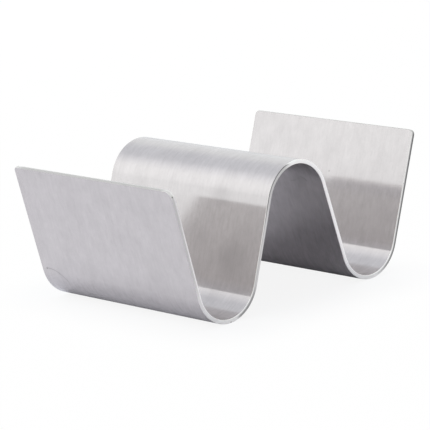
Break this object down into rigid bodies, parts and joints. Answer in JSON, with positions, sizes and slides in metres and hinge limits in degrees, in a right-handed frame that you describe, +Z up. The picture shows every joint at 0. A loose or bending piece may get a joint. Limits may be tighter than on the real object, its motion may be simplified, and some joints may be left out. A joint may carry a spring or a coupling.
{
  "type": "taco holder",
  "caption": "Sheet bent into a wave that stands on its valleys and holds a taco upright in each, between outward leaning end flanges and a rounded hump.",
  "frame": {"origin": "on the table, at mid depth, midway between the lowest lines of the two valleys", "axes": "+X across the wave from the front flange to the back flange, +Y along the bends, +Z up from the table"},
  "size_m": [0.126, 0.08, 0.0515],
  "materials": {
    "brushed_sheet": "brushed satin stainless steel, grain running along the strip across the bends"
  },
  "bodies": {
    "root": {"bent_sheet": "brushed_sheet"}
  },
  "joints": []
}
